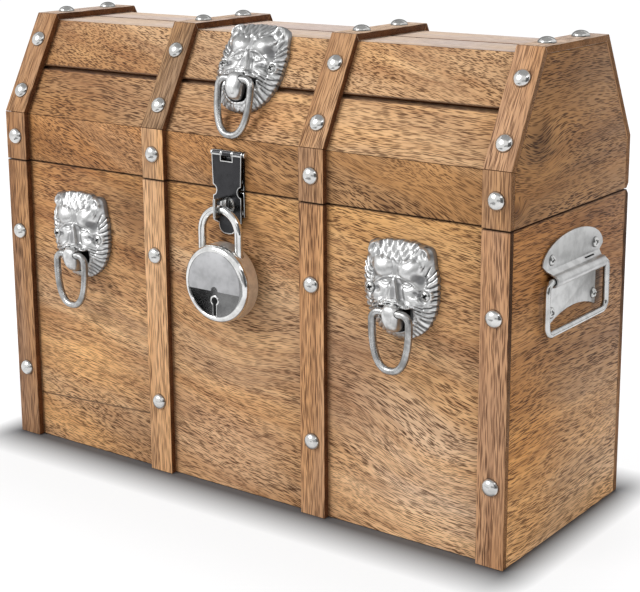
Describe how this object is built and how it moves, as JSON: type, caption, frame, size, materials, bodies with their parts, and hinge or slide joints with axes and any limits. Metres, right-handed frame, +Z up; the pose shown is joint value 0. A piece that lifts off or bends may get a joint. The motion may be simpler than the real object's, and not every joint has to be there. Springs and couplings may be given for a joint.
{
  "type": "treasure chest",
  "caption": "Wooden treasure chest with a five-sided lid, nailed wooden straps, hasp and padlock, lion-head ring pulls and drop handles at both ends.",
  "frame": {"origin": "on the floor under the middle of the body, in the plane of the bottom panel's underside", "axes": "+X along the front to the right as seen from the front, +Y from the front to the back, +Z up"},
  "size_m": [0.4792, 0.1938, 0.3492],
  "materials": {
    "panel_wood": "oiled satin, warm brown, straight to diagonal grain",
    "lid_wood": "oiled satin, mid brown with a pale sheen on top",
    "strip_wood": "oiled satin, reddish brown, with polished dome nails",
    "cast_antique_silver": "antique silver casting, dark in the recesses and bright on the high spots",
    "ring_metal": "satin, slightly grainy",
    "chrome": "polished, satin on the padlock's face",
    "zinc_plate": "satin light grey zinc",
    "gunmetal": "dark gunmetal with worn bright edges",
    "hinge_steel": "plain satin steel"
  },
  "bodies": {
    "chest_body": {"back_panel": "panel_wood", "back_strip_1": "strip_wood", "back_strip_2": "strip_wood", "back_strip_3": "strip_wood", "back_strip_4": "strip_wood", "bottom_panel": "panel_wood", "front_panel": "panel_wood", "front_strip_1": "strip_wood", "front_strip_2": "strip_wood", "front_strip_3": "strip_wood", "front_strip_4": "strip_wood", "left_end_panel": "panel_wood", "left_handle_plate": "zinc_plate", "left_hinge_body_leaf": "hinge_steel", "left_lion_mask": "cast_antique_silver", "right_end_panel": "panel_wood", "right_handle_plate": "zinc_plate", "right_hinge_body_leaf": "hinge_steel", "right_lion_mask": "cast_antique_silver", "staple_plate": "gunmetal"},
    "lid": {"hasp_leaf": "gunmetal", "hasp_pin": "gunmetal", "left_hinge_lid_leaf": "hinge_steel", "lid_back_lower_slat": "lid_wood", "lid_back_rail": "lid_wood", "lid_back_strip_1": "strip_wood", "lid_back_strip_2": "strip_wood", "lid_back_strip_3": "strip_wood", "lid_back_strip_4": "strip_wood", "lid_back_upper_slat": "lid_wood", "lid_front_lower_slat": "lid_wood", "lid_front_rail": "lid_wood", "lid_front_slope_strip_1": "strip_wood", "lid_front_slope_strip_2": "strip_wood", "lid_front_slope_strip_3": "strip_wood", "lid_front_slope_strip_4": "strip_wood", "lid_front_strip_1": "strip_wood", "lid_front_strip_2": "strip_wood", "lid_front_strip_3": "strip_wood", "lid_front_strip_4": "strip_wood", "lid_front_upper_slat": "lid_wood", "lid_left_end": "lid_wood", "lid_lion_mask": "cast_antique_silver", "lid_right_end": "lid_wood", "lid_top_back_slat": "lid_wood", "lid_top_front_slat": "lid_wood", "lid_top_strip_1": "strip_wood", "lid_top_strip_2": "strip_wood", "lid_top_strip_3": "strip_wood", "lid_top_strip_4": "strip_wood", "right_hinge_lid_leaf": "hinge_steel"},
    "hasp": {"hasp_eye": "zinc_plate", "hasp_strap": "gunmetal"},
    "shackle": {"padlock_shackle": "chrome"},
    "padlock": {"padlock_body": "chrome"},
    "left_ring": {"left_lion_ring": "ring_metal"},
    "right_ring": {"right_lion_ring": "ring_metal"},
    "lid_ring": {"lid_lion_ring": "ring_metal"},
    "left_bail": {"left_handle_bail": "chrome"},
    "right_bail": {"right_handle_bail": "chrome"}
  },
  "joints": [
    {"name": "lid_hinge", "type": "hinge", "parent": "chest_body", "child": "lid", "pos_m": [0, 0.0836, 0.2314], "axis": [-1, 0, 0], "range_deg": [0, 98]},
    {"name": "hasp_swing", "type": "hinge", "parent": "lid", "child": "hasp", "pos_m": [-0.0015, -0.0836, 0.258], "axis": [-1, 0, 0], "range_deg": [0, 95]},
    {"name": "padlock_swing", "type": "hinge", "parent": "hasp", "child": "shackle", "pos_m": [-0.001, -0.0951, 0.2194], "axis": [-1, 0, 0], "range_deg": [-3, 60]},
    {"name": "padlock_release", "type": "slide", "parent": "shackle", "child": "padlock", "axis": [0, 0, -1], "range_m": [0, 0.0095]},
    {"name": "left_ring_swing", "type": "hinge", "parent": "chest_body", "child": "left_ring", "pos_m": [-0.1522, -0.0972, 0.1648], "axis": [-1, 0, 0], "range_deg": [-12, 85]},
    {"name": "right_ring_swing", "type": "hinge", "parent": "chest_body", "child": "right_ring", "pos_m": [0.147, -0.0972, 0.1675], "axis": [-1, 0, 0], "range_deg": [-12, 85]},
    {"name": "lid_ring_swing", "type": "hinge", "parent": "lid", "child": "lid_ring", "pos_m": [0, -0.07643, 0.31129], "axis": [-1, 0, 0], "range_deg": [0, 85]},
    {"name": "left_bail_swing", "type": "hinge", "parent": "chest_body", "child": "left_bail", "pos_m": [-0.2353, 0, 0.189], "axis": [0, 1, 0], "range_deg": [0, 120]},
    {"name": "right_bail_swing", "type": "hinge", "parent": "chest_body", "child": "right_bail", "pos_m": [0.2353, 0, 0.189], "axis": [0, -1, 0], "range_deg": [0, 120]}
  ]
}
